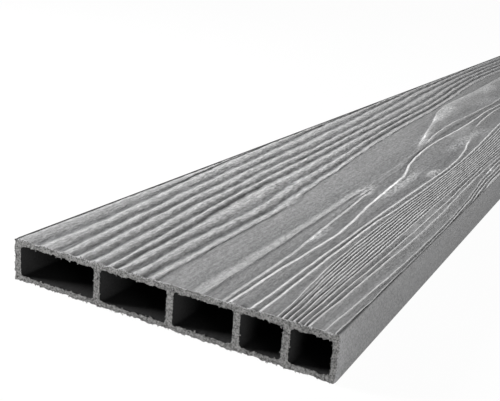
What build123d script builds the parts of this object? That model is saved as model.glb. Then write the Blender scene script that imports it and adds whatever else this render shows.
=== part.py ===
from build123d import *
import os

# Hollow wood-plastic raised bed board: one extruded piece, sawn square at both ends. Millimetres.
# The board lies flat. X runs across its width, Y along its length, and +Z points up out of the
# embossed face. The origin is the middle of the underside. The end that shows its cells is at -Y.

# Length and thickness of the stock. Its width is what the walls, webs and cells add up to.
board_length = 2000.0
board_thickness = 20.0

# Walls of the extrusion.
face_wall = 3.3       # carries the embossed face
back_wall = 2.8
left_wall = 3.7
right_wall = 2.2
web_thickness = 3.0

# Clear widths of the five cells, from the left wall to the right one.
first_cell_width = 39.2
second_cell_width = 32.4
third_cell_width = 26.6
fourth_cell_width = 17.4
fifth_cell_width = 16.5

# Corners: the face slopes down to a soft arris on the left edge and is crisp on the right edge.
slope_run = 3.7
slope_drop = 1.0
left_corner_radius = 0.9
right_corner_radius = 0.7
cell_corner_radius = 1.4

cell_widths = [
    first_cell_width,
    second_cell_width,
    third_cell_width,
    fourth_cell_width,
    fifth_cell_width,
]
web_count = len(cell_widths) - 1
board_width = left_wall + sum(cell_widths) + web_count * web_thickness + right_wall
left_edge = -board_width / 2
right_edge = board_width / 2

cell_height = board_thickness - face_wall - back_wall
cell_middle_height = back_wall + cell_height / 2


def cell_centres():
    # X of the middle of each cell, walking from the left wall across the webs.
    centres = []
    cell_start = left_edge + left_wall
    for width in cell_widths:
        centres.append(cell_start + width / 2)
        cell_start += width + web_thickness
    return centres


with BuildPart() as board:
    # The die's outline and its mandrels, drawn on the plane of the near end.
    with BuildSketch(Plane.XZ.offset(board_length / 2)) as section:
        with BuildLine():
            Polyline(
                (left_edge, 0),
                (right_edge, 0),
                (right_edge, board_thickness),
                (left_edge + slope_run, board_thickness),
                (left_edge, board_thickness - slope_drop),
                close=True,
            )
        make_face()
        left_corners = section.vertices().group_by(Axis.X)[0]
        right_corners = section.vertices().group_by(Axis.X)[-1]
        fillet(left_corners, left_corner_radius)
        fillet(right_corners, right_corner_radius)
        # Each mandrel leaves a hollow with softened corners.
        for centre, width in zip(cell_centres(), cell_widths):
            with Locations((centre, cell_middle_height)):
                RectangleRounded(width, cell_height, cell_corner_radius, mode=Mode.SUBTRACT)
    extrude(amount=-board_length)

board.part.label = "board"

os.makedirs("parts", exist_ok=True)
export_step(board.part, "parts/board.step")

print("width", round(board_width, 2), "cell height", round(cell_height, 2))
print("section area mm2", round(board.part.volume / board_length, 1))
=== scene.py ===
import math
import random
import bmesh
import bpy
import numpy as np
from mathutils import Matrix, Vector
from mathutils.geometry import delaunay_2d_cdt


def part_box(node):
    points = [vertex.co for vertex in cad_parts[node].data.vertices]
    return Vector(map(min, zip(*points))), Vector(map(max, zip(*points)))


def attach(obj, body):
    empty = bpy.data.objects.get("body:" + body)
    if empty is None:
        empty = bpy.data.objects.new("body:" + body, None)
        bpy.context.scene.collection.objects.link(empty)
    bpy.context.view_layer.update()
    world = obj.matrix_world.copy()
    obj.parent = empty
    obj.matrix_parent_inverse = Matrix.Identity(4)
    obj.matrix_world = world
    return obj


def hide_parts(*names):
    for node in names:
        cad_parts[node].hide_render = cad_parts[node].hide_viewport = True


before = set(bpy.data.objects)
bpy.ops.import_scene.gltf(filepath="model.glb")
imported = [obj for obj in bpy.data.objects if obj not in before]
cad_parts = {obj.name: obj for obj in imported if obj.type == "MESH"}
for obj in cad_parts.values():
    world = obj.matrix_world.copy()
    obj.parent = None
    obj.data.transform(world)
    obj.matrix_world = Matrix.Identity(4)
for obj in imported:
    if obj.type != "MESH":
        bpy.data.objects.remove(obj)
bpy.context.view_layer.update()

mm = 0.001
boxLow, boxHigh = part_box("board")
boardWidth = (boxHigh.x - boxLow.x) / mm
boardLength = (boxHigh.y - boxLow.y) / mm
boardThickness = (boxHigh.z - boxLow.z) / mm


# Short ways to build node trees

def add(tree, kind, feeds=None, **settings):
    made = tree.nodes.new(kind)
    for name, value in settings.items():
        setattr(made, name, value)
    for name, value in (feeds or {}).items():
        if isinstance(value, bpy.types.NodeSocket):
            tree.links.new(value, made.inputs[name])
        else:
            made.inputs[name].default_value = value
    return made


def calc(tree, operation, *values):
    feeds = {index: value for index, value in enumerate(values)}
    return add(tree, "ShaderNodeMath", feeds, operation=operation).outputs[0]


def product(tree, *values):
    total = values[0]
    for value in values[1:]:
        total = calc(tree, "MULTIPLY", total, value)
    return total


def sumOf(tree, *values):
    total = values[0]
    for value in values[1:]:
        total = calc(tree, "ADD", total, value)
    return total


def ramp(tree, value, low, high, lowOut=0.0, highOut=1.0, smooth=False):
    feeds = {"Value": value, "From Min": low, "From Max": high,
             "To Min": lowOut, "To Max": highOut}
    kind = "SMOOTHSTEP" if smooth else "LINEAR"
    return add(tree, "ShaderNodeMapRange", feeds, interpolation_type=kind).outputs["Result"]


def newTree(name, kind, inputs, outputs):
    # a node group with named sockets; each input is (name, socket kind, default)
    tree = bpy.data.node_groups.new(name, kind)
    for label, socketKind, default in inputs:
        socket = tree.interface.new_socket(label, in_out="INPUT", socket_type=socketKind)
        if default is not None:
            socket.default_value = default
    for label, socketKind in outputs:
        tree.interface.new_socket(label, in_out="OUTPUT", socket_type=socketKind)
    return tree, tree.nodes.new("NodeGroupInput").outputs, tree.nodes.new("NodeGroupOutput").inputs


def setInput(modifier, label, value):
    for item in modifier.node_group.interface.items_tree:
        if item.item_type == "SOCKET" and item.in_out == "INPUT" and item.name == label:
            modifier[item.identifier] = value


# Camera and stage

shot = {
    "place": (0.1570, -1.2396, 0.1449),
    "turn": 26.8,           # degrees from +Y towards -X
    "dip": 17.5,            # degrees below the horizon
    "roll": 4.62,
    "lens": 57.7,
}

stage = {
    "floorSize": 30.0,
    "floorTone": 0.86,
    "floorGlow": 0.97,      # how much of the floor the camera sees as plain white
    "skyStrength": 0.16,
    "keyPlace": (-1.16, -1.20, 0.445),
    "keyPower": 58.0,
    "keySize": 0.5,
    "fillPlace": (2.6, -2.2, 0.45),
    "fillPower": 56.0,
    "fillSize": 1.6,
    "lookAt": (0.0, -0.6, 0.0),
}


def addCamera():
    cameraData = bpy.data.cameras.new("camera")
    cameraData.lens = shot["lens"]
    cameraData.clip_start = 0.01
    cameraData.clip_end = 60.0
    camera = bpy.data.objects.new("camera", cameraData)
    bpy.context.scene.collection.objects.link(camera)
    turn = Matrix.Rotation(math.radians(shot["turn"]), 4, "Z")
    tilt = Matrix.Rotation(math.radians(90.0 - shot["dip"]), 4, "X")
    roll = Matrix.Rotation(math.radians(shot["roll"]), 4, "Z")
    camera.matrix_world = Matrix.Translation(shot["place"]) @ turn @ tilt @ roll
    bpy.context.scene.camera = camera


def addAreaLight(name):
    lightData = bpy.data.lights.new(name, "AREA")
    lightData.shape = "DISK"
    lightData.energy = stage[name + "Power"]
    lightData.size = stage[name + "Size"]
    light = bpy.data.objects.new(name, lightData)
    bpy.context.scene.collection.objects.link(light)
    direction = Vector(stage["lookAt"]) - Vector(stage[name + "Place"])
    light.rotation_euler = direction.to_track_quat("-Z", "Y").to_euler()
    light.location = stage[name + "Place"]


def seenDirectly(tree):
    # one where a camera, glossy or transmission ray looks, nought elsewhere
    path = tree.nodes.new("ShaderNodeLightPath").outputs
    either = calc(tree, "MAXIMUM", path["Is Camera Ray"], path["Is Glossy Ray"])
    return calc(tree, "MAXIMUM", either, path["Is Transmission Ray"])


def addWorld():
    world = bpy.data.worlds.new("studio")
    world.use_nodes = True
    tree = world.node_tree
    background = tree.nodes["Background"]
    strength = ramp(tree, seenDirectly(tree), 0, 1, stage["skyStrength"], 1.0)
    tree.links.new(strength, background.inputs["Strength"])
    background.inputs["Color"].default_value = (1.0, 1.0, 1.0, 1.0)
    bpy.context.scene.world = world


def addFloor():
    half = stage["floorSize"] / 2
    corners = [(-half, -half, 0), (half, -half, 0), (half, half, 0), (-half, half, 0)]
    mesh = bpy.data.meshes.new("floor")
    mesh.from_pydata(corners, [], [(0, 1, 2, 3)])
    floor = bpy.data.objects.new("floor", mesh)
    bpy.context.scene.collection.objects.link(floor)
    material = bpy.data.materials.new("paleFloor")
    material.use_nodes = True
    tree = material.node_tree
    surface = tree.nodes["Principled BSDF"]
    tone = stage["floorTone"]
    surface.inputs["Base Color"].default_value = (tone, tone, tone, 1.0)
    surface.inputs["Roughness"].default_value = 0.9
    surface.inputs["Specular IOR Level"].default_value = 0.0
    glow = tree.nodes.new("ShaderNodeEmission")
    share = calc(tree, "MULTIPLY", seenDirectly(tree), stage["floorGlow"])
    mixed = add(tree, "ShaderNodeMixShader",
                {0: share, 1: surface.outputs[0], 2: glow.outputs[0]}).outputs[0]
    tree.links.new(mixed, tree.nodes["Material Output"].inputs["Surface"])
    mesh.materials.append(material)


addCamera()
addWorld()
addFloor()
addAreaLight("key")
addAreaLight("fill")
bpy.context.scene.view_settings.view_transform = "Standard"
print("stage is set")


# Board: the extruded section and the grain pressed into its face. Millimetres, measured from the
# near end and from the left edge.

section = {
    "faceWall": 3.3,
    "backWall": 2.8,
    "leftWall": 3.7,
    "web": 3.0,
    "cells": [39.2, 32.4, 26.6, 17.4, 16.5],
    "cellCorner": 1.4,
    "slopeRun": 3.7,
    "slopeDrop": 1.0,
    "leftCorner": 0.9,
    "rightCorner": 0.7,
    "rimStep": 0.6,         # spacing of points along the sawn rims
    "cutGrain": 0.55,       # spacing of points over the sawn end
    "cutShake": 0.2,        # how far they are shaken, as a share of the spacing
    "innerLine": 0.6,       # from each long edge to the first points of a flat side
    "seed": 7,
}

embossing = {
    "repeat": 1300.0,       # the roller's turn, after which the pattern comes again
    "rowSteps": [(300, 2.5), (620, 4.0), (1000, 6.0), (1990, 14.0)],
    "endRows": [0.0, 0.7, 1.6, 2.8, 4.4],
    "wander": 0.32,         # how far a soft line strays to each side
    "fineWander": 0.128,    # how far a sharp line does
    "wanderLengths": (21.0, 34.0, 61.0, 117.0),
    "smoothing": 9,         # how far along a drawn corner is rounded
    "roughAlong": [(0, 0.5), (70, 0.65), (150, 1.1), (900, 1.3)],
    "shallowest": 0.05,
    "rightEdgeDepth": 0.12,
    "rightEdgeRough": 0.3,
    "seed": 21,
}

# How the face goes from one trough to the next
profile = {
    "riseShare": 0.46,          # of the gap, where a line has no rise of its own
    "longestRise": 0.8,         # of the gap
    "risingColumns": 0.45,      # share of a soft line's columns that stand on its rise
    "crestTop": (0.4, 0.3),     # width of a sharp crest, and the most of its fall it may take
    "crestEnd": 0.96,           # how much of the climb is left where that crest ends
    "quickDrop": (1.3, 0.6),    # the same for the quick drop behind it
    "dropEnd": 0.5,
    "columnRoom": 0.5,          # a gap with less room for each column sinks
}

# Each grain line is a trough. "path" is (along, across). "floor" is the trough's depth, "crown" the
# depth of the crest on its right, and "rise" the way from trough to crest; about half the gap if
# it is 0. "fade" says where the line is pressed (1) and where it dies out (0), and the highlight
# share how bright a highlight is painted on its rising flank and crest, where the key light falls.
# "crowns" and "rises" are for lines that change along the board.
ridge = {"floor": 0.92, "crown": 0.08, "rise": 0.0, "columns": 8, "soft": 1.0, "rough": 1.0}
step = {"floor": 0.66, "crown": 0.24, "rise": 1.2, "columns": 6, "soft": 0.2, "rough": 0.3}
hair = {"floor": 0.62, "crown": 0.24, "rise": 0.7, "columns": 4, "soft": 0.2, "rough": 0.2,
        "highlightShare": [(0, 0.45)]}
edgeLine = dict(ridge, floor=0.45, crown=0.38, rise=5.2)

# The right guide of the tight lines, which is a line too
bundleEdge = [(0, 133.5), (60, 133.7), (100, 133.7), (150, 133.4), (250, 133.3), (350, 133.8),
              (450, 132), (600, 128), (1000, 131)]

# The tight lines between two guides: every other one dies out near the shown end.
hairBundle = {
    "count": 7,
    "left": [(0, 125.1), (15, 124.6), (30, 123.3), (45, 122.2), (60, 121.4), (80, 120.9),
             (150, 120.7), (200, 121.8), (300, 121.6), (325, 121), (350, 120), (400, 118.2),
             (450, 115.5), (500, 113.5), (600, 111.5), (1000, 117)],
    "right": bundleEdge,
    "quietUntil": 60.0,
}


def bundleLines():
    # the tight lines, each of them a share of the way from the left guide to the right one
    lines = []
    for index in range(hairBundle["count"] + 1):
        share = index / (hairBundle["count"] + 1)
        fade = [(0, 1)]
        if index % 2 == 1:
            fade = [(0, 0), (hairBundle["quietUntil"], 1), (1200, 1)]
        lines.append(dict(hair, between=share, fade=fade, highlightShare=[(0, 1)]))
    return lines


grainLines = [
    dict(ridge, path=[(0, 13), (45, 13.5), (60, 12), (100, 9), (125, 7), (150, 5), (175, 3.3),
                      (215, 2), (245, 0), (1040, 0)]),
    dict(ridge, path=[(0, 25), (30, 23), (60, 21), (80, 20.5), (100, 18), (150, 15), (200, 13),
                      (250, 9), (300, 5.5), (350, 3.5), (400, 3), (450, 1.5), (490, 0), (1020, 0)]),
    dict(ridge, path=[(0, 33), (30, 31), (60, 29), (100, 26), (150, 23), (200, 21), (250, 19),
                      (300, 16), (350, 14), (400, 10), (450, 7), (500, 5), (550, 2.2), (600, 0),
                      (1000, 0)]),
    dict(ridge, path=[(0, 41), (30, 39), (60, 37), (80, 34.5), (125, 33), (175, 30), (250, 29),
                      (300, 26), (350, 24), (400, 20), (450, 17), (500, 13), (550, 9.5), (600, 8),
                      (700, 5), (800, 2.5), (870, 0), (990, 0)]),
    dict(ridge, path=[(0, 49), (45, 46), (80, 43), (125, 40), (200, 37), (275, 34.5), (325, 32),
                      (400, 28), (450, 26), (500, 22), (550, 18), (600, 16), (700, 12), (800, 11),
                      (900, 12), (1000, 11)]),
    dict(ridge, path=[(0, 54), (45, 52), (80, 49), (125, 45.3), (200, 44), (275, 41), (325, 38.5),
                      (400, 37), (450, 34), (500, 33), (550, 29), (600, 25), (700, 20), (800, 19),
                      (900, 20), (1000, 19)]),
    dict(ridge, path=[(0, 61), (45, 59), (100, 60), (125, 58.5), (150, 55.5), (200, 53.5),
                      (250, 51), (300, 48), (350, 45), (400, 43), (450, 42), (500, 40), (550, 37),
                      (600, 32), (700, 27), (800, 26), (900, 27), (1000, 27)]),
    # the last broad ridge and its foot, where the plain tongue begins
    dict(ridge, rise=4.4, path=[(0, 67.5), (60, 68), (110, 67.5), (150, 64), (200, 61.5),
                                (250, 57.5), (300, 53.5), (350, 50.5), (400, 49), (450, 48),
                                (500, 46), (550, 43), (600, 39), (700, 33), (800, 33.5),
                                (900, 35), (1000, 36)]),
    dict(step, floor=0.52, crown=0.42, rise=3.0, columns=8, soft=1.0,
         path=[(0, 73.8), (60, 73.4), (100, 73.2), (125, 74), (135, 72), (150, 69.8), (175, 67.8),
               (200, 66.2), (250, 61.8), (300, 58.6), (350, 56), (400, 55.2), (450, 53.4),
               (500, 50.6), (550, 48.6), (600, 44.5), (700, 40.5), (800, 41.5), (1000, 44)]),
    # the low ridge left of the tongue, then the line that runs up to the left
    dict(step, floor=0.50, crown=0.40, columns=7, soft=0.6, rough=0.42,
         path=[(0, 88.5), (60, 88.7), (100, 89.5), (150, 88.5), (185, 88.5), (240, 88), (290, 86),
               (325, 80.7), (350, 76.5), (375, 72), (400, 68), (450, 58), (475, 54.8), (500, 52.6),
               (550, 53), (600, 54), (700, 52), (800, 50), (1000, 50)],
         fade=[(0, 1), (160, 1), (190, 0), (305, 0), (335, 1)],
         crowns=[(0, 0.40), (170, 0.40), (200, 0.42), (300, 0.42), (340, 0.18), (600, 0.22)],
         rises=[(0, 5.6), (200, 5.6), (320, 1.6), (1100, 1.6)]),
    dict(step, floor=0.66, crown=0.58, columns=6, soft=0.3,
         path=[(0, 95.6), (60, 94.8), (100, 94.1), (150, 93.6), (185, 92.5), (240, 91), (300, 88.3),
               (325, 85), (350, 82.3), (375, 81), (400, 80.2), (425, 80), (450, 81.8), (500, 83.4),
               (550, 84.8), (600, 84), (700, 82), (850, 84), (1000, 88)],
         fade=[(0, 1), (170, 1), (190, 0), (325, 0), (350, 1)],
         highlightShare=[(0, 0), (310, 0), (350, 1), (1200, 1)],
         crowns=[(0, 0.60), (185, 0.45), (320, 0.42), (360, 0.12)],
         rises=[(0, 3.2), (200, 3.2), (330, 1.0), (1100, 1.0)]),
    dict(step, floor=0.66, crown=0.50, rise=1.4, columns=6,
         path=[(0, 102), (45, 102.1), (60, 102), (80, 100.9), (100, 99.7), (125, 98.3), (150, 97.1),
               (165, 95.6), (185, 95.4), (240, 94.2), (275, 90.6), (300, 89.1), (325, 87),
               (400, 85.5), (500, 86.5), (600, 88), (700, 86.5), (850, 89), (1000, 93.5)],
         fade=[(0, 1), (165, 1), (190, 0), (1050, 0), (1200, 1)],
         crowns=[(0, 0.50), (165, 0.50), (195, 0.62), (1050, 0.62), (1200, 0.50)]),
    dict(step, floor=0.76, crown=0.18, rise=1.7, columns=12,
         path=[(0, 104.8), (30, 105.2), (45, 105.8), (60, 107), (80, 107.6), (100, 108.3),
               (125, 106.6), (150, 104.1), (175, 103), (200, 101.4), (225, 100.1), (240, 97.5),
               (250, 94.7), (275, 91.8), (300, 89.9), (325, 88.9), (350, 89.1), (375, 90.2),
               (400, 90.9), (450, 90.8), (500, 89.6), (550, 91.3), (600, 92), (700, 91),
               (850, 94), (1000, 99)]),
    dict(step, fade=[(0, 1), (350, 1), (368, 0), (415, 0), (430, 1)],
         path=[(0, 114.1), (60, 114), (100, 114.5), (150, 114.5), (175, 115.3), (200, 115.8),
               (250, 117), (275, 116.8), (300, 115.8), (325, 113.2), (350, 109.2), (365, 107.5),
               (400, 101), (450, 97), (500, 95), (600, 96.5), (1000, 106)]),
    dict(step, path=[(0, 118), (30, 117.5), (60, 117.2), (125, 117), (150, 118.2), (200, 119.6),
                     (250, 119.8), (300, 119.2), (350, 117.4), (400, 114.6), (450, 112.3),
                     (500, 111), (600, 109), (1000, 112)]),
    *bundleLines(),
    dict(hair, path=bundleEdge),
    dict(hair, path=[(0, 135.8), (45, 136.4), (80, 137), (150, 137.3), (200, 137), (225, 136),
                     (300, 135.2), (350, 135.8), (450, 135), (600, 132), (1000, 134)]),
    dict(hair, columns=6, rise=0.9,
         path=[(0, 137.5), (30, 138.4), (60, 139), (100, 140.1), (125, 140.6), (175, 140),
               (225, 138.4), (275, 137.5), (325, 137.8), (450, 138), (600, 136), (1000, 137)]),
    dict(hair, columns=5, rise=0.8,
         path=[(0, 143.5), (30, 144.8), (80, 146.5), (150, 146.8), (175, 146.1), (200, 145.3),
               (225, 143.5), (250, 141.8), (300, 140.3), (400, 141), (600, 141), (1000, 142)]),
    dict(hair, path=[(0, 147.5), (30, 148.2), (100, 148.5), (150, 148.3), (200, 146.8),
                     (225, 145.1), (250, 143.8), (300, 143), (400, 144), (600, 145),
                     (1000, 145.5)]),
    dict(hair, path=[(0, 150), (150, 150), (175, 149.2), (200, 148.5), (225, 147.1), (250, 145.8),
                     (300, 145.5), (400, 147), (600, 147.5), (900, 149), (1000, 150)]),
    dict(hair, path=[(0, 150), (200, 150), (225, 149), (250, 147.6), (300, 147.5), (450, 149),
                     (600, 150), (1000, 150)]),
]

# Places where the face is torn and speckled: (along, across, reach along, reach across)
tornPlaces = [(176, 94, 16, 5), (205, 105.5, 50, 4), (345, 105, 45, 6), (395, 107, 35, 5),
              (440, 66, 40, 5), (330, 83, 22, 4), (95, 102.5, 20, 2), (485, 60, 18, 5),
              (560, 76, 40, 3.6), (640, 62, 40, 4), (760, 90, 50, 6), (900, 70, 60, 7),
              (246, 114, 15, 3.4), (350, 78, 26, 3), (470, 64, 22, 3.6), (280, 141, 14, 2.5)]

# A small knot that stands up from the face
knot = {"along": 244.0, "across": 114.0, "length": 14.0, "width": 2.8, "height": 0.60}


def alongBoard(points, rows):
    # given (along, value) points, rounded and read at each row, past the repeat too
    repeat = embossing["repeat"]
    places = [p[0] for p in points] + [repeat]
    values = [p[1] for p in points] + [points[0][1]]
    every = np.interp(np.arange(repeat), places, values)
    reach = embossing["smoothing"] + 1
    kernel = np.hanning(2 * reach + 1)
    kernel /= kernel.sum()
    wrapped = np.concatenate([every[-reach:], every, every[:reach]])
    smooth = np.convolve(wrapped, kernel, mode="valid")
    closed = np.append(smooth, smooth[0])
    return np.interp(np.mod(rows, repeat), np.arange(repeat + 1), closed)


def lineValue(line, name, everywhere, rows):
    # a line's own values along the board, or the same value everywhere
    return alongBoard(line.get(name, [(0, everywhere)]), rows)


def rowPlaces():
    rows = list(embossing["endRows"])
    for end, rowStep in embossing["rowSteps"]:
        while rows[-1] + rowStep <= end:
            rows.append(rows[-1] + rowStep)
    for place in reversed(embossing["endRows"]):
        if boardLength - place > rows[-1] + 1.0:
            rows.append(boardLength - place)
    return np.array(rows)


def linePath(line, rows):
    if "path" in line:
        return alongBoard(line["path"], rows)
    left = alongBoard(hairBundle["left"], rows)
    right = alongBoard(hairBundle["right"], rows)
    return left + (right - left) * line["between"]


def wanderOf(index, rows, size):
    # slow unevenness of one line, the same on every run
    draw = random.Random(embossing["seed"] + index)
    total = np.zeros(len(rows))
    for length in embossing["wanderLengths"]:
        phase = draw.uniform(0, 2 * math.pi)
        total += np.sin(rows * 2 * math.pi / length + phase) * size / 2
    return total


def slopeHeight(across):
    # blank height of the face, with the slope down to the left arris
    low = np.clip(1.0 - np.asarray(across) / section["slopeRun"], 0.0, 1.0)
    return boardThickness - section["slopeDrop"] * low


def arc(centre, radius, start, end, count):
    points = []
    for index in range(count + 1):
        angle = math.radians(start + (end - start) * index / count)
        points.append((centre[0] + radius * math.cos(angle), centre[1] + radius * math.sin(angle)))
    return points


slopeAngle = math.degrees(math.atan2(section["slopeDrop"], section["slopeRun"]))
cornerTurn = 90.0 - slopeAngle
cornerReach = section["leftCorner"] * math.tan(math.radians(cornerTurn / 2))
faceStart = cornerReach * math.cos(math.radians(slopeAngle))
leftSideTop = boardThickness - section["slopeDrop"] - cornerReach
faceEnd = boardWidth - section["rightCorner"]
rightSideTop = boardThickness - section["rightCorner"]
leftArc = arc((section["leftCorner"], leftSideTop), section["leftCorner"], 180, 90 + slopeAngle, 3)
rightArc = arc((faceEnd, rightSideTop), section["rightCorner"], 90, 0, 3)


def sharpFall(rest, falling):
    # columns behind a sharp crest: its top, a quick drop, then the long fall to the next trough
    topWidth, topShare = profile["crestTop"]
    dropWidth, dropShare = profile["quickDrop"]
    shoulder = min(topWidth / rest, topShare)
    if falling <= 3:
        shares = [0.0] + evenPlaces(shoulder, 1.0, (1.0 - shoulder) / (falling - 1))[:falling - 1]
        return shares, [1.0 - share for share in shares]
    foot = max(shoulder * 1.5, min(dropWidth / rest, dropShare))
    after = evenPlaces(foot, 1.0, (1.0 - foot) / (falling - 2))[:falling - 2]
    climbs = [profile["dropEnd"] * (1.0 - share) / (1.0 - foot) for share in after]
    return [0.0, shoulder] + after, [1.0, profile["crestEnd"]] + climbs


def gapColumns(width, rise, line):
    # the columns of one gap: how far each stands from the trough, how far it has climbed from it,
    # and whether it stands on the rise
    soft = line["soft"] > 0.5
    rise = rise if rise > 0 else profile["riseShare"] * width
    rise = min(rise, profile["longestRise"] * width)
    climbing = max(2, round(line["columns"] * profile["risingColumns"])) if soft else 2
    falling = line["columns"] - climbing
    columns = []
    for index in range(climbing):
        columns.append((rise * index / climbing, index / climbing, True))
    if soft:
        shares = [index / falling for index in range(falling)]
        climbs = [1.0 - share for share in shares]
    else:
        shares, climbs = sharpFall(width - rise + 0.001, falling)
    for share, climb in zip(shares, climbs):
        columns.append((rise + (width - rise) * share, climb, False))
    return columns


def faceColumns(rows):
    # every column of the face at every row: where it stands across the board, then its climb,
    # trough, crown, softness, roughness and painted highlight
    lines = [edgeLine] + grainLines
    paths = [np.full(len(rows), faceStart)]
    for index, line in enumerate(grainLines):
        size = embossing["wander"] if line["soft"] > 0.9 else embossing["fineWander"]
        across = linePath(line, rows) + wanderOf(index, rows, size)
        paths.append(np.maximum(np.clip(across, faceStart, faceEnd), paths[-1]))
    paths.append(np.full(len(rows), faceEnd))
    strengths = [lineValue(line, "fade", 1.0, rows) for line in lines]
    crowns = [lineValue(line, "crowns", line["crown"], rows) for line in lines]
    rises = [lineValue(line, "rises", line["rise"], rows) for line in lines]
    highlightShares = [lineValue(line, "highlightShare", 1.0, rows) for line in lines]
    # trough depths, which rise to the crests beside them where a line dies out
    floors = []
    for index, line in enumerate(lines):
        around = (crowns[max(index - 1, 0)] + crowns[index]) / 2
        floors.append(around + (line["floor"] - around) * strengths[index])
    floors.append(np.full(len(rows), embossing["rightEdgeDepth"]))
    columns = []
    for at in range(len(rows)):
        row = []
        for index, line in enumerate(lines):
            left = paths[index][at]
            width = paths[index + 1][at] - left
            # a ridge that is squeezed out of the face sinks as it narrows
            room = min(1.0, width / (profile["columnRoom"] * line["columns"]))
            # painted highlight: the rising flanks and crests of sharp lines, which face the key
            # light, are painted lighter
            highlightStrength = strengths[index][at] * room * (1.0 - line["soft"]) * highlightShares[index][at]
            crown = crowns[index][at]
            for offset, climb, goesUp in gapColumns(width, rises[index][at], line):
                trough = (floors[index] if goesUp else floors[index + 1])[at]
                soft = 1.0 if goesUp else line["soft"]
                worn = highlightStrength if climb == 1 or (goesUp and climb > 0) else 0.0
                row.append((left + offset, climb * room, trough, crown, soft, line["rough"], worn))
        row.append((faceEnd, 0.0, floors[-1][at], crowns[-1][at], 1.0,
                    embossing["rightEdgeRough"], 0.0))
        columns.append(row)
    return columns


def tornAt(along, across):
    most = 0.0
    turn = along % embossing["repeat"]
    for place, middle, reachAlong, reachAcross in tornPlaces:
        far = ((turn - place) / reachAlong) ** 2 + ((across - middle) / reachAcross) ** 2
        most = max(most, 1.0 - far)
    return max(0.0, most)


markNames = ("climb", "trough", "crown", "soft", "rough", "worn", "share", "torn", "inner")
keptMarks = ("rough", "worn", "torn")


class Blank:
    # points and faces of the board before the grain and the saw cut are pressed in

    def __init__(self):
        self.index = {}
        self.points = []
        self.faces = []
        self.finishes = []
        self.marks = {name: [] for name in markNames}

    def key(self, across, along, up):
        # points that agree to a hundredth of a millimetre are one
        return (round(across, 2), round(along, 2), round(up, 2))

    def point(self, across, along, up, **marks):
        key = self.key(across, along, up)
        if key not in self.index:
            self.index[key] = len(self.points)
            self.points.append((across, along, up))
            for name in self.marks:
                self.marks[name].append(marks.get(name, 0.0))
        return self.index[key]

    def face(self, corners, finish):
        corners = [c for i, c in enumerate(corners) if c != corners[i - 1]]
        if len(set(corners)) >= 3:
            self.faces.append(corners)
            self.finishes.append(finish)

    def grid(self, rows, finish, closed=False):
        for near, far in zip(rows, rows[1:]):
            count = len(near) if closed else len(near) - 1
            for index in range(count):
                after = (index + 1) % len(near)
                self.face([near[index], near[after], far[after], far[index]], finish)


finishNumbers = {"face": 0, "plain": 1, "cut": 2, "cell": 3}


def knotAt(along, across):
    # how far the knot lifts the face, with a steep flank
    turn = along % embossing["repeat"]
    far = math.hypot((turn - knot["along"]) / knot["length"],
                     (across - knot["across"]) / knot["width"])
    return knot["height"] * min(1.0, max(0.0, (1.0 - far) * 3))


def grainMarks(row, across):
    # the grain at any place across one row, between its columns
    places = [c[0] for c in row]
    return [float(np.interp(across, places, [c[k] for c in row])) for k in range(1, 5)]


def evenPlaces(start, end, step):
    count = max(1, round(abs(end - start) / step))
    return [start + (end - start) * index / count for index in range(count + 1)]


def plainPlaces():
    # rows of the plain sides and of the cells, close together near the ends
    near = [0.0, 0.7, 1.6, 3.2, 10.0, 60.0, 400.0, 1000.0]
    return near + [boardLength - place for place in reversed(near[:-1])]


def cellOutlines():
    # each cell's rim as a closed list of (across, up) points
    outlines = []
    radius = section["cellCorner"]
    low = section["backWall"]
    high = boardThickness - section["faceWall"]
    start = section["leftWall"]
    for width in section["cells"]:
        left, right = start, start + width
        rim = []
        rim += [(x, low) for x in evenPlaces(left + radius, right - radius, section["rimStep"])]
        rim += arc((right - radius, low + radius), radius, -90, 0, 4)[1:]
        rim += [(right, z) for z in evenPlaces(low + radius, high - radius, section["rimStep"])][1:]
        rim += arc((right - radius, high - radius), radius, 0, 90, 4)[1:]
        rim += [(x, high) for x in evenPlaces(right - radius, left + radius, section["rimStep"])][1:]
        rim += arc((left + radius, high - radius), radius, 90, 180, 4)[1:]
        rim += [(left, z) for z in evenPlaces(high - radius, low + radius, section["rimStep"])][1:]
        rim += arc((left + radius, low + radius), radius, 180, 270, 4)[1:-1]
        outlines.append({"rim": rim, "box": (left, low, right, high)})
        start = right + section["web"]
    return outlines


def layFace(blank, rows, columns):
    gridRows = []
    shallowest = embossing["shallowest"]
    roughness = alongBoard(embossing["roughAlong"], rows)
    for along, row, roughHere in zip(rows, columns, roughness):
        line = [blank.point(across, along, up) for across, up in leftArc[:-1]]
        for across, climb, trough, crown, soft, rough, worn in row:
            lifted = knotAt(along, across)
            line.append(blank.point(across, along, float(slopeHeight(across)), climb=climb,
                                    trough=max(trough - lifted, shallowest),
                                    crown=max(crown - lifted, shallowest),
                                    soft=soft, rough=rough * roughHere, worn=worn, share=1.0,
                                    torn=tornAt(along, across)))
        line += [blank.point(across, along, up) for across, up in rightArc[1:]]
        gridRows.append(line)
    blank.grid(gridRows, finishNumbers["face"])


def fillFlat(blank, loops, extra, toPoint, finish, isHole=None):
    # fills a flat outline, with holes, by triangles that use every point given
    coords = []
    edges = []
    for loop in loops:
        first = len(coords)
        coords += [Vector(p) for p in loop]
        edges += [(first + i, first + (i + 1) % len(loop)) for i in range(len(loop))]
    coords += [Vector(p) for p in extra]
    insideOnly = 1
    filled = delaunay_2d_cdt(coords, edges, [], insideOnly, 1e-6)
    triangles, origins = filled[2], filled[3]
    given = [p for loop in loops for p in loop] + list(extra)
    for triangle in triangles:
        corners = [given[origins[i][0]] for i in triangle]
        middle = (sum(c[0] for c in corners) / 3, sum(c[1] for c in corners) / 3)
        if isHole is None or not isHole(*middle):
            blank.face([toPoint(c[0], c[1]) for c in corners], finish)


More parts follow.
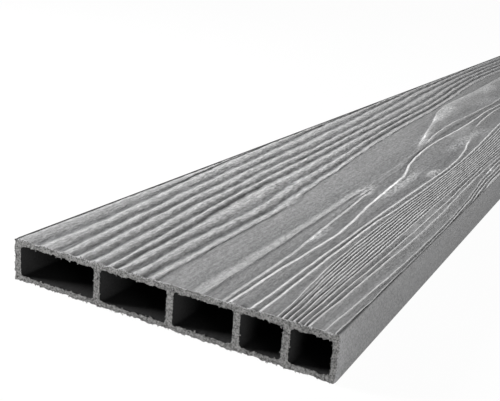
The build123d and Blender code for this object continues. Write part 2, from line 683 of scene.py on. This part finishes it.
def nearCuts(start, end):
    # points across a side just inside both sawn rims, so that a ragged rim stays near its cut
    margin = section["innerLine"]
    places = evenPlaces(start + margin, end - margin, 2 * section["rimStep"])
    insets = (1.2, 2.6)
    alongs = insets + tuple(boardLength - inset for inset in insets)
    return [(along, place) for along in alongs for place in places]


def laySides(blank, rows):
    rowsPlain = plainPlaces()
    margin = section["innerLine"]
    sides = [(0.0, leftSideTop, section["leftCorner"]),
             (boardWidth, rightSideTop, section["rightCorner"])]
    for across, top, bottom in sides:
        rim = evenPlaces(bottom, top, section["rimStep"])
        loop = [(y, bottom) for y in rowsPlain[:-1]]
        loop += [(boardLength, z) for z in rim[:-1]]
        loop += [(y, top) for y in rows[::-1][:-1]]
        loop += [(0.0, z) for z in rim[::-1][:-1]]
        # a line just inside each long edge keeps the roundness out of the flat side
        inside = nearCuts(bottom + margin, top - margin)
        inside += [(y, top - margin) for y in rows[1:-1]]
        inside += [(y, bottom + margin) for y in rowsPlain[1:-1]]
        fillFlat(blank, [loop], inside, lambda y, z: blank.point(across, y, z),
                 finishNumbers["plain"])
    # the underside and the two soft corners that join it to the sides
    corners = {}
    for name, centre, radius, start, end in (
        ("left", section["leftCorner"], section["leftCorner"], 180, 270),
        ("right", boardWidth - section["rightCorner"], section["rightCorner"], 360, 270),
    ):
        bend = arc((centre, radius), radius, start, end, 3)
        corners[name] = bend
        blank.grid([[blank.point(x, y, z) for x, z in bend] for y in rowsPlain],
                   finishNumbers["plain"])
    left, right = corners["left"][-1][0], corners["right"][-1][0]
    rim = evenPlaces(left, right, section["rimStep"])
    loop = [(x, 0.0) for x in rim[:-1]]
    loop += [(right, y) for y in rowsPlain[:-1]]
    loop += [(x, boardLength) for x in rim[::-1][:-1]]
    loop += [(left, y) for y in rowsPlain[::-1][:-1]]
    inside = [(x, y) for y, x in nearCuts(left + margin, right - margin)]
    inside += [(x, y) for x in (left + margin, right - margin) for y in rowsPlain[1:-1]]
    fillFlat(blank, [loop], inside, lambda x, y: blank.point(x, y, 0.0),
             finishNumbers["plain"])
    return corners, rim


def layCells(blank, outlines):
    for outline in outlines:
        gridRows = [[blank.point(x, y, z, inner=1.0) for x, z in outline["rim"]]
                    for y in plainPlaces()]
        blank.grid(gridRows, finishNumbers["cell"], closed=True)


def inCell(outlines, across, up):
    for outline in outlines:
        left, low, right, high = outline["box"]
        if left < across < right and low < up < high:
            radius = section["cellCorner"]
            overX = max(left + radius - across, across - (right - radius), 0.0)
            overZ = max(low + radius - up, up - (high - radius), 0.0)
            if math.hypot(overX, overZ) < radius:
                return True
    return False


def cellNearness(outlines, across, up):
    # one at a cell's rim, nought a millimetre away from it
    nearest = 1.0
    for outline in outlines:
        left, low, right, high = outline["box"]
        away = math.hypot(max(left - across, across - right, 0.0), max(low - up, up - high, 0.0))
        nearest = min(nearest, away)
    return 1.0 - nearest


def outerRim(blank, along, row, corners, rim):
    # the end's outline as (across, up) points, from the left arris over the face and back below
    step = section["rimStep"]
    outline = list(leftArc[:-1])
    outline += [(column[0], float(slopeHeight(column[0]))) for column in row]
    outline += rightArc[1:]
    outline += [(boardWidth, z) for z in evenPlaces(rightSideTop, section["rightCorner"], step)][1:]
    outline += corners["right"][1:]
    outline += [(x, 0.0) for x in rim[::-1]][1:]
    outline += corners["left"][::-1][1:]
    outline += [(0.0, z) for z in evenPlaces(section["leftCorner"], leftSideTop, step)][1:-1]
    single = []
    for x, z in outline:
        if not single or blank.key(x, along, z) != blank.key(single[-1][0], along, single[-1][1]):
            single.append((x, z))
    return single


def sawnPoints(draw, outlines):
    # a net of shaken points over the sawn end, clear of its rims and cells
    grain = section["cutGrain"]
    shake = section["cutShake"]
    clear = grain * 0.5
    around = ((0, 0), (clear, 0), (-clear, 0), (0, clear), (0, -clear))
    rowHeight = grain * 0.87
    inside = []
    for level in range(1, int(boardThickness / rowHeight)):
        across = grain * (0.5 if level % 2 else 1.0)
        while across < boardWidth:
            x = across + draw.uniform(-shake, shake) * grain
            z = level * rowHeight + draw.uniform(-shake, shake) * grain
            across += grain
            if x < clear or x > boardWidth - clear or z < clear:
                continue
            if z > float(slopeHeight(x)) - clear:
                continue
            if not any(inCell(outlines, x + dx, z + dz) for dx, dz in around):
                inside.append((x, z))
    return inside


def layEnds(blank, columns, outlines, corners, rim):
    faceUnder = boardThickness - section["faceWall"]
    draw = random.Random(section["seed"])
    for along, row in ((0.0, columns[0]), (boardLength, columns[-1])):

        def toPoint(x, z):
            climb, trough, crown, soft = grainMarks(row, x)
            share = min(1.0, max(0.0, (z - faceUnder) / section["faceWall"]))
            return blank.point(x, along, z, climb=climb, trough=trough, crown=crown, soft=soft,
                               share=share, inner=cellNearness(outlines, x, z))

        loops = [outerRim(blank, along, row, corners, rim)]
        loops += [outline["rim"] for outline in outlines]
        fillFlat(blank, loops, sawnPoints(draw, outlines), toPoint, finishNumbers["cut"],
                 lambda x, z: inCell(outlines, x, z))


def makeBlank():
    rows = rowPlaces()
    columns = faceColumns(rows)
    outlines = cellOutlines()
    blank = Blank()
    layFace(blank, rows, columns)
    corners, rim = laySides(blank, rows)
    layCells(blank, outlines)
    layEnds(blank, columns, outlines, corners, rim)
    mesh = bpy.data.meshes.new("raisedBedBoard")
    points = np.array(blank.points)
    points[:, 0] -= boardWidth / 2
    points[:, 1] -= boardLength / 2
    mesh.from_pydata((points * mm).tolist(), [], blank.faces)
    for name, values in blank.marks.items():
        mark = mesh.attributes.new(name, "FLOAT", "POINT")
        mark.data.foreach_set("value", np.array(values, np.float32))
    finish = mesh.attributes.new("finish", "INT", "FACE")
    finish.data.foreach_set("value", np.array(blank.finishes, np.int32))
    shell = bmesh.new()
    shell.from_mesh(mesh)
    bmesh.ops.recalc_face_normals(shell, faces=shell.faces)
    shell.to_mesh(mesh)
    shell.free()
    mesh.validate()
    mesh.update()
    print("blank has", len(mesh.vertices), "points and", len(mesh.polygons), "faces")
    return mesh


# The tree that presses the grain into the blank, roughens the cuts and sheds crumbs along them.
# Its depths, reaches and sizes are in millimetres.

press = {
    "Crest Fullness": 1.7,
    "Crest Unevenness": 0.14,
    "Trough Unevenness": 0.34,
    "Torn Depth": 0.50,
    "Mottle Depth": 0.42,
    "Saw Depth": 0.34,
    "Rim Chip": 0.85,
    "Chip Reach": 2.6,
    "Rim Reach": 2.2,
    "Cell Rim Wander": 1.15,
    "Outer Rim Lumps": 0.80,
    "Crumb Spacing": 2.4,
    "Crumb Size": 0.42,
}

# Noise of the face and the cuts: the size of its features across, along and up in millimetres, and
# the range that counts, where it isn't all of it
noises = {
    "crest": {"size": (5, 38, 9), "detail": 2, "seed": 3.1},
    "trough": {"size": (4, 24, 9), "detail": 2, "seed": 8.7},
    "tear": {"size": (1.3, 3.2, 3), "detail": 3, "seed": 5.2, "range": (0.42, 0.68)},
    "mottle": {"size": (1.9, 6, 3), "detail": 3, "seed": 1.9, "range": (0.3, 0.7)},
    "chip": {"size": (2.1, 2.6, 3), "detail": 3, "seed": 2.4, "range": (0.52, 0.8)},
    "saw": {"size": (1.1, 5, 1.1), "detail": 3, "seed": 6.6},
    "wanderAcross": {"size": (1.3, 4, 1.3), "detail": 3, "seed": 9.3, "range": (0.3, 0.7)},
    "wanderUp": {"size": (1.3, 4, 1.3), "detail": 3, "seed": 29.3, "range": (0.3, 0.7)},
    "lump": {"size": (3.4, 6, 3.4), "detail": 3, "seed": 4.8, "range": (0.32, 0.62)},
}

rims = {
    "sideBand": 0.6,            # points this near a long edge move with its rim
    "bottomBand": 0.5,
    "rightShare": 0.25,         # the saw left the right edge cleaner than the left one
    "cornerBand": (7.0, 1.0),   # from the right edge, where the underside's rim gets cleaner
    "cornerShares": (1.5, 0.4),
    "webShare": 0.45,           # the cells' rims wander less across than up
    "sharpBend": 0.62,          # an edge that bends more is drawn sharp
    "crumbBend": 0.9,           # and one that bends more than this sheds crumbs
    "crumbShapes": ((0.2, 0.2, 0.2), (1.0, 0.7, 0.9)),
    "crumbShake": 0.3,
    "crumbBand": 0.5,           # how near the cut those edges are
    "cutPlane": 0.02,           # points nearer the end than this lie on the cut
}

# The face's tone follows a stored relief value, nought in the grooves and one on the crests: painted
# shade that darkens the grooves and lightens the crests
paintedReliefShade = {"depths": (0.95, 0.15), "depthShare": 0.7, "climbs": (0, 0.55), "climbShare": 0.3}


def named(tree, label, kind="FLOAT"):
    return add(tree, "GeometryNodeInputNamedAttribute", {"Name": label},
               data_type=kind).outputs["Attribute"]


def clouds(tree, place, name):
    noise = noises[name]
    stretch = tuple(1 / (size * mm) for size in noise["size"])
    scaled = add(tree, "ShaderNodeVectorMath", {0: place, 1: stretch}, operation="MULTIPLY")
    feeds = {"Vector": scaled.outputs[0], "W": noise["seed"], "Scale": 1.0,
             "Detail": noise["detail"]}
    cloud = add(tree, "ShaderNodeTexNoise", feeds, noise_dimensions="4D").outputs["Fac"]
    return ramp(tree, cloud, *noise["range"]) if "range" in noise else cloud


def nearEnd(tree, fromEnd, reach):
    # one at the saw cut, nought a reach away from it
    return ramp(tree, fromEnd, 0, calc(tree, "MULTIPLY", reach, mm), 1, 0)


def grainDepth(tree, given, place, fromEnd):
    # how deep each point is pressed, from the trough up to the crest, and its share of the climb
    climb = named(tree, "climb")
    toGo = calc(tree, "SUBTRACT", 1.0, ramp(tree, climb, 0, 1, smooth=True))
    full = calc(tree, "SUBTRACT", 1.0, calc(tree, "POWER", toGo, given["Crest Fullness"]))
    eased = add(tree, "ShaderNodeMix", {"Factor": named(tree, "soft"), "A": climb,
                                        "B": full}).outputs[0]
    crown = calc(tree, "MULTIPLY_ADD", clouds(tree, place, "crest"), given["Crest Unevenness"],
                 named(tree, "crown"))
    troughNoise = calc(tree, "SUBTRACT", clouds(tree, place, "trough"), 0.5)
    troughShare = calc(tree, "MULTIPLY_ADD", troughNoise, given["Trough Unevenness"], 1.0)
    trough = calc(tree, "MULTIPLY", named(tree, "trough"), troughShare)
    grain = calc(tree, "MULTIPLY_ADD", calc(tree, "SUBTRACT", crown, trough), eased, trough)
    tear = product(tree, clouds(tree, place, "tear"), named(tree, "torn"), given["Torn Depth"])
    mottle = product(tree, clouds(tree, place, "mottle"), given["Mottle Depth"],
                     named(tree, "rough"))
    chip = product(tree, clouds(tree, place, "chip"), nearEnd(tree, fromEnd, given["Chip Reach"]),
                   given["Rim Chip"])
    depth = calc(tree, "MULTIPLY", sumOf(tree, grain, tear, mottle, chip), named(tree, "share"))
    return depth, eased


def rimPushes(tree, given, place, apart, fromEnd):
    # how far the rims of the saw cut stray across and up
    rimNear = nearEnd(tree, fromEnd, given["Rim Reach"])
    inner = named(tree, "inner")
    cellPush = []
    for name, share in (("wanderAcross", rims["webShare"]), ("wanderUp", 1.0)):
        stray = calc(tree, "SUBTRACT", clouds(tree, place, name), 0.5)
        cellPush.append(product(tree, rimNear, inner, stray, given["Cell Rim Wander"], share))
    halfWidth = boardWidth / 2
    lumps = calc(tree, "MULTIPLY", rimNear, clouds(tree, place, "lump"))
    atSide = calc(tree, "GREATER_THAN", calc(tree, "ABSOLUTE", apart[0]),
                  (halfWidth - rims["sideBand"]) * mm)
    inward = ramp(tree, apart[0], -mm, mm, 1.0, -rims["rightShare"])
    sidePush = product(tree, atSide, lumps, inward)
    atBottom = calc(tree, "LESS_THAN", apart[2], rims["bottomBand"] * mm)
    bandStart, bandEnd = [(halfWidth - inset) * mm for inset in rims["cornerBand"]]
    cleaner = ramp(tree, apart[0], bandStart, bandEnd, *rims["cornerShares"])
    bottomPush = product(tree, atBottom, lumps, cleaner)
    acrossPush = calc(tree, "MULTIPLY_ADD", sidePush, given["Outer Rim Lumps"], cellPush[0])
    upPush = calc(tree, "MULTIPLY_ADD", bottomPush, given["Outer Rim Lumps"], cellPush[1])
    return acrossPush, upPush


def rimCrumbs(tree, given, pressed, fromEnd, bend):
    # small torn lumps left along the rims of the two saw cuts
    nearCut = calc(tree, "LESS_THAN", fromEnd, rims["crumbBand"] * mm)
    rimEdges = calc(tree, "MULTIPLY", nearCut, calc(tree, "GREATER_THAN", bend, rims["crumbBend"]))
    edges = add(tree, "GeometryNodeSeparateGeometry",
                {"Geometry": pressed, "Selection": rimEdges}, domain="EDGE").outputs[0]
    curves = add(tree, "GeometryNodeMeshToCurve", {"Mesh": edges}).outputs[0]
    spacing = calc(tree, "MULTIPLY", given["Crumb Spacing"], mm)
    spots = add(tree, "GeometryNodeCurveToPoints", {"Curve": curves, "Length": spacing},
                mode="LENGTH").outputs[0]
    ball = add(tree, "GeometryNodeMeshIcoSphere", {"Radius": 1.0, "Subdivisions": 1}).outputs[0]
    lump = add(tree, "GeometryNodeStoreNamedAttribute",
               {"Geometry": ball, "Name": "finish", "Value": finishNumbers["cut"]},
               data_type="INT", domain="FACE").outputs[0]
    smallest, largest = rims["crumbShapes"]
    shake = rims["crumbShake"] * mm
    randoms = []
    for seed, low, high in ((11, smallest, largest),
                            (12, (0, 0, 0), (6.28, 6.28, 6.28)),
                            (13, (-shake, 0, -shake), (shake, 0, shake))):
        randoms.append(add(tree, "FunctionNodeRandomValue", {0: low, 1: high, "Seed": seed},
                           data_type="FLOAT_VECTOR").outputs[0])
    shapes, turns, shakes = randoms
    size = calc(tree, "MULTIPLY", given["Crumb Size"], mm)
    scale = add(tree, "ShaderNodeVectorMath", {0: shapes, "Scale": size},
                operation="SCALE").outputs[0]
    shaken = add(tree, "GeometryNodeSetPosition", {"Geometry": spots, "Offset": shakes}).outputs[0]
    return add(tree, "GeometryNodeInstanceOnPoints",
               {"Points": shaken, "Instance": lump, "Rotation": turns, "Scale": scale}).outputs[0]


def shadedSharp(tree, pressed, bend):
    # smooth, but sharp where the saw cut meets the faces
    smooth = add(tree, "GeometryNodeSetShadeSmooth", {0: pressed, "Shade Smooth": True},
                 domain="FACE").outputs[0]
    sharp = calc(tree, "GREATER_THAN", bend, rims["sharpBend"])
    return add(tree, "GeometryNodeSetShadeSmooth",
               {0: smooth, "Selection": sharp, "Shade Smooth": False}, domain="EDGE").outputs[0]


def trimmed(tree, whole, place):
    # nothing stands past the stock's own size
    low = (-boardWidth / 2 * mm, -boardLength / 2 * mm, 0.0)
    high = (boardWidth / 2 * mm, boardLength / 2 * mm, boardThickness * mm)
    above = add(tree, "ShaderNodeVectorMath", {0: place, 1: low}, operation="MAXIMUM").outputs[0]
    within = add(tree, "ShaderNodeVectorMath", {0: above, 1: high}, operation="MINIMUM").outputs[0]
    return add(tree, "GeometryNodeSetPosition", {"Geometry": whole, "Position": within}).outputs[0]


def pressTree():
    inputs = [("Geometry", "NodeSocketGeometry", None)]
    inputs += [(label, "NodeSocketFloat", value) for label, value in press.items()]
    inputs += [(label.title(), "NodeSocketMaterial", None) for label in finishNumbers]
    tree, given, result = newTree("pressGrain", "GeometryNodeTree", inputs,
                                  [("Geometry", "NodeSocketGeometry")])
    place = tree.nodes.new("GeometryNodeInputPosition").outputs[0]
    bend = tree.nodes.new("GeometryNodeInputMeshEdgeAngle").outputs[0]
    apart = add(tree, "ShaderNodeSeparateXYZ", {0: place}).outputs
    fromEnd = calc(tree, "SUBTRACT", boardLength / 2 * mm, calc(tree, "ABSOLUTE", apart[1]))
    depth, eased = grainDepth(tree, given, place, fromEnd)
    acrossPush, upPush = rimPushes(tree, given, place, apart, fromEnd)
    # the saw cut is pushed in a little everywhere
    atEnd = calc(tree, "LESS_THAN", fromEnd, rims["cutPlane"] * mm)
    inward = calc(tree, "MULTIPLY", calc(tree, "SIGN", apart[1]), -1.0)
    alongPush = product(tree, clouds(tree, place, "saw"), given["Saw Depth"], inward, atEnd)
    push = add(tree, "ShaderNodeCombineXYZ",
               {0: acrossPush, 1: alongPush, 2: calc(tree, "SUBTRACT", upPush, depth)}).outputs[0]
    offset = add(tree, "ShaderNodeVectorMath", {0: push, "Scale": mm},
                 operation="SCALE").outputs[0]
    # painted shade: the tone is darkened in the grooves and lightened on the crests, by depth and by
    # climb
    byDepth = product(tree, ramp(tree, depth, *paintedReliefShade["depths"]), paintedReliefShade["depthShare"])
    byClimb = product(tree, ramp(tree, eased, *paintedReliefShade["climbs"]), paintedReliefShade["climbShare"])
    reliefShade = sumOf(tree, byDepth, byClimb)
    kept = add(tree, "GeometryNodeStoreNamedAttribute",
               {"Geometry": given["Geometry"], "Name": "reliefShade", "Value": reliefShade},
               data_type="FLOAT", domain="POINT").outputs[0]
    pressed = add(tree, "GeometryNodeSetPosition", {"Geometry": kept, "Offset": offset}).outputs[0]
    crumbs = rimCrumbs(tree, given, pressed, fromEnd, bend)
    joined = tree.nodes.new("GeometryNodeJoinGeometry")
    tree.links.new(crumbs, joined.inputs[0])
    tree.links.new(shadedSharp(tree, pressed, bend), joined.inputs[0])
    whole = add(tree, "GeometryNodeRealizeInstances", {"Geometry": joined.outputs[0]}).outputs[0]
    dressed = trimmed(tree, whole, place)
    for label, number in finishNumbers.items():
        same = add(tree, "FunctionNodeCompare", {2: named(tree, "finish", "INT"), 3: number},
                   data_type="INT", operation="EQUAL").outputs[0]
        dressed = add(tree, "GeometryNodeSetMaterial",
                      {"Geometry": dressed, "Selection": same,
                       "Material": given[label.title()]}).outputs[0]
    tree.links.new(dressed, result[0])
    return tree


# Materials: one grey wood-plastic mix, pressed, sanded, sawn, or left as the die made it. Painted
# light:
# shade in the grooves, highlights on lit flanks, lighter sides, a darker end and near-black cells

paint = {
    # painted shade: the grooves' tone is darker and the crests' tone lighter
    "grooveShadeTone": (0.125, 0.126, 0.128),
    "crestLitTone": (0.302, 0.302, 0.302),
    # painted highlight on the rising flanks and crests that face the key light
    "wornTone": (0.55, 0.55, 0.55),
    # painted light: the sides are lighter than the face to stand in for light the lamps don't give
    # them
    "sideLitTone": (0.300, 0.300, 0.302),
    # painted shade: the sawn end is darker to make up for the key light that falls full on it
    "cutShadeTone": (0.122, 0.121, 0.119),
    # painted shade: the cells' skin is near black for the dark inside the long hollows
    "cellShadeTone": (0.022, 0.022, 0.0222),
}

# How each finish changes its tone, by a sum of shares, and takes the light. "bump" is in
# millimetres.
faceLook = {
    "base": 0.42,
    "streaks": 0.32,
    "flecks": 0.14,
    "fleckRange": (0.25, 0.85),
    "roughFlecks": 0.52,        # added where the face is rough
    "tornFlecks": 1.2,          # added where it is torn
    "patches": 0.45,
    "torn": 0.22,
    "flour": 0.36,
    # how strongly the painted highlight is laid on
    "worn": 0.85,
    "roughness": (0.74, 0.90),
    "specular": 0.03,
    "bump": 0.17,
    "streakHeight": 0.3,
    "fleckHeight": 0.3,
    "roughHeight": 1.3,
    "flourHeight": 0.7,
}
plainLook = {"base": 0.60, "streaks": 0.08, "flour": 0.74, "roughness": 0.88, "specular": 0.05,
             "bump": 0.14}
cutLook = {"base": 0.12, "salt": 1.15, "saltRange": (0.25, 0.75), "fine": 0.9, "dark": -0.35,
           "fineHeight": 0.4, "roughness": 0.88, "specular": 0.15, "bump": 0.34}
cellLook = {"base": 0.8, "flour": 0.4, "roughness": 0.8, "specular": 0.0, "bump": 0.05}


def fibreGroup():
    # fine streaks along the board, as the pressed fibres leave
    tree, given, result = newTree("fibreStreaks", "ShaderNodeTree",
                                  [("Width", "NodeSocketFloat", 0.35),
                                   ("Length", "NodeSocketFloat", 24.0),
                                   ("Seed", "NodeSocketFloat", 0.0)],
                                  [("Streaks", "NodeSocketFloat")])
    place = tree.nodes.new("ShaderNodeTexCoord").outputs["Object"]
    narrow = calc(tree, "DIVIDE", 1000.0, given["Width"])
    long = calc(tree, "DIVIDE", 1000.0, given["Length"])
    sizes = add(tree, "ShaderNodeCombineXYZ", {0: narrow, 1: long, 2: narrow}).outputs[0]
    fine = add(tree, "ShaderNodeVectorMath", {0: place, 1: sizes},
               operation="MULTIPLY").outputs[0]
    streak = add(tree, "ShaderNodeTexNoise",
                 {"Vector": fine, "W": given["Seed"], "Scale": 1.0, "Detail": 3.0,
                  "Roughness": 0.6}, noise_dimensions="4D").outputs["Fac"]
    tree.links.new(ramp(tree, streak, 0.3, 0.7), result[0])
    return tree


def speckleGroup():
    # wood flour in the plastic: small light and dark grains
    tree, given, result = newTree("woodFlour", "ShaderNodeTree",
                                  [("Grain Size", "NodeSocketFloat", 0.3),
                                   ("Seed", "NodeSocketFloat", 0.0)],
                                  [("Flour", "NodeSocketFloat"), ("Dark Grains", "NodeSocketFloat")])
    place = tree.nodes.new("ShaderNodeTexCoord").outputs["Object"]
    scaled = add(tree, "ShaderNodeVectorMath",
                 {0: place, "Scale": calc(tree, "DIVIDE", 1000.0, given["Grain Size"])},
                 operation="SCALE").outputs[0]
    flour = add(tree, "ShaderNodeTexNoise",
                {"Vector": scaled, "W": given["Seed"], "Scale": 1.0, "Detail": 3.0,
                 "Roughness": 0.65}, noise_dimensions="4D").outputs["Fac"]
    cells = add(tree, "ShaderNodeTexVoronoi",
                {"Vector": scaled, "W": given["Seed"], "Scale": 0.8}, voronoi_dimensions="4D")
    pick = add(tree, "ShaderNodeSeparateColor", {0: cells.outputs["Color"]}).outputs[0]
    tree.links.new(ramp(tree, flour, 0.28, 0.72), result["Flour"])
    tree.links.new(ramp(tree, pick, 0.80, 0.95), result["Dark Grains"])
    return tree


fibres = fibreGroup()
flourGrains = speckleGroup()


def useGroup(tree, group, **feeds):
    made = tree.nodes.new("ShaderNodeGroup")
    made.node_tree = group
    for name, value in feeds.items():
        made.inputs[name.replace("_", " ")].default_value = value
    return made.outputs


def blendTones(tree, share, first, second):
    mixed = tree.nodes.new("ShaderNodeMix")
    mixed.data_type = "RGBA"
    for index, value in ((0, share), (6, first), (7, second)):
        if isinstance(value, bpy.types.NodeSocket):
            tree.links.new(value, mixed.inputs[index])
        elif index == 0:
            mixed.inputs[index].default_value = value
        else:
            mixed.inputs[index].default_value = (*value, 1.0)
    return mixed.outputs[2]


def shaded(tree, tone, amount):
    # the tone made lighter or darker by a factor
    return add(tree, "ShaderNodeVectorMath", {0: tone, "Scale": amount},
               operation="SCALE").outputs[0]


def bumped(tree, height, depth):
    return add(tree, "ShaderNodeBump", {"Height": height, "Distance": depth * mm,
                                        "Strength": 1.0}).outputs[0]


def evenTone(tree, name):
    tone = tree.nodes.new("ShaderNodeRGB").outputs[0]
    tone.default_value = (*paint[name], 1.0)
    return tone


def carried(tree, name):
    # one of the values that the mesh carries at its points
    return add(tree, "ShaderNodeAttribute", attribute_name=name).outputs["Fac"]


def newMaterial(name):
    material = bpy.data.materials.new(name)
    material.use_nodes = True
    tree = material.node_tree
    return material, tree, tree.nodes["Principled BSDF"].inputs


def faceMaterial():
    material, tree, surface = newMaterial("embossedFace")
    look = faceLook
    reliefShade, rough, worn, torn = [carried(tree, name) for name in ("reliefShade", "rough", "worn", "torn")]
    streaks = useGroup(tree, fibres, Width=0.9, Length=14.0, Seed=2.0)["Streaks"]
    flecks = useGroup(tree, fibres, Width=1.5, Length=3.8, Seed=8.0)["Streaks"]
    patches = useGroup(tree, fibres, Width=3.2, Length=10.0, Seed=13.0)["Streaks"]
    flour = useGroup(tree, flourGrains, Grain_Size=1.0, Seed=4.0)["Flour"]
    # painted shade in the grooves and painted light on the crests
    tone = blendTones(tree, reliefShade, paint["grooveShadeTone"], paint["crestLitTone"])
    # painted highlight on the rising flanks and crests
    tone = blendTones(tree, product(tree, worn, look["worn"]), tone, paint["wornTone"])
    fleckShare = sumOf(tree, product(tree, rough, look["roughFlecks"]),
                       product(tree, torn, look["tornFlecks"]), look["flecks"])
    change = sumOf(tree, look["base"], product(tree, streaks, look["streaks"]),
                   product(tree, ramp(tree, flecks, *look["fleckRange"]), fleckShare),
                   product(tree, patches, rough, look["patches"]),
                   product(tree, torn, look["torn"]), product(tree, flour, look["flour"]))
    tree.links.new(shaded(tree, tone, change), surface["Base Color"])
    tree.links.new(ramp(tree, streaks, 0, 1, *look["roughness"]), surface["Roughness"])
    surface["Specular IOR Level"].default_value = look["specular"]
    fleckHeight = calc(tree, "MULTIPLY_ADD", rough, look["roughHeight"], look["fleckHeight"])
    height = sumOf(tree, product(tree, streaks, look["streakHeight"]),
                   product(tree, flecks, fleckHeight), product(tree, flour, look["flourHeight"]))
    tree.links.new(bumped(tree, height, look["bump"]), surface["Normal"])
    return material


def dressEvenly(tree, surface, toneName, change, height, look):
    # one tone and one roughness, for a finish without grain
    tone = shaded(tree, evenTone(tree, toneName), change)
    tree.links.new(tone, surface["Base Color"])
    surface["Roughness"].default_value = look["roughness"]
    surface["Specular IOR Level"].default_value = look["specular"]
    tree.links.new(bumped(tree, height, look["bump"]), surface["Normal"])


def plainMaterial():
    material, tree, surface = newMaterial("sandedSidesPaintedLighter")
    # painted light: the sides' tone is raised to make up for the weaker light on them
    streaks = useGroup(tree, fibres, Width=0.3, Length=24.0, Seed=7.0)["Streaks"]
    flour = useGroup(tree, flourGrains, Grain_Size=0.9, Seed=5.0)["Flour"]
    change = sumOf(tree, plainLook["base"], product(tree, streaks, plainLook["streaks"]),
                   product(tree, flour, plainLook["flour"]))
    dressEvenly(tree, surface, "sideLitTone", change, flour, plainLook)
    return material


def cutMaterial():
    material, tree, surface = newMaterial("sawnEnd")
    # painted shade: the end's tone is lowered against the key light that falls on it
    coarse = useGroup(tree, flourGrains, Grain_Size=0.85, Seed=9.0)
    fine = useGroup(tree, flourGrains, Grain_Size=0.5, Seed=3.0)["Flour"]
    salt = ramp(tree, coarse["Flour"], *cutLook["saltRange"])
    change = sumOf(tree, cutLook["base"], product(tree, salt, cutLook["salt"]),
                   product(tree, fine, cutLook["fine"]),
                   product(tree, coarse["Dark Grains"], cutLook["dark"]))
    height = sumOf(tree, coarse["Flour"], product(tree, fine, cutLook["fineHeight"]))
    dressEvenly(tree, surface, "cutShadeTone", change, height, cutLook)
    return material


def cellMaterial():
    material, tree, surface = newMaterial("cellPaintedShade")
    # painted shade: the cells are near black as the shade inside them
    flour = useGroup(tree, flourGrains, Grain_Size=0.9, Seed=6.0)["Flour"]
    change = sumOf(tree, cellLook["base"], product(tree, flour, cellLook["flour"]))
    dressEvenly(tree, surface, "cellShadeTone", change, flour, cellLook)
    return material


def makeBoard():
    blankMesh = makeBlank()
    board = bpy.data.objects.new("raisedBedBoard", blankMesh)
    bpy.context.scene.collection.objects.link(board)
    finishes = {"Face": faceMaterial(), "Plain": plainMaterial(), "Cut": cutMaterial(),
                "Cell": cellMaterial()}
    modifier = board.modifiers.new("pressGrain", "NODES")
    modifier.node_group = pressTree()
    for label, value in {**press, **finishes}.items():
        setInput(modifier, label, value)
    seen = board.evaluated_get(bpy.context.evaluated_depsgraph_get())
    plainMesh = bpy.data.meshes.new_from_object(seen)
    board.modifiers.remove(modifier)
    board.data = plainMesh
    for spent in list(plainMesh.attributes):
        if spent.name in (*markNames, "finish") and spent.name not in keptMarks:
            plainMesh.attributes.remove(spent)
    print("board has", len(plainMesh.polygons), "faces and", len(plainMesh.materials),
          "materials")
    return board


board = makeBoard()

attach(board, "root")
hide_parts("board")
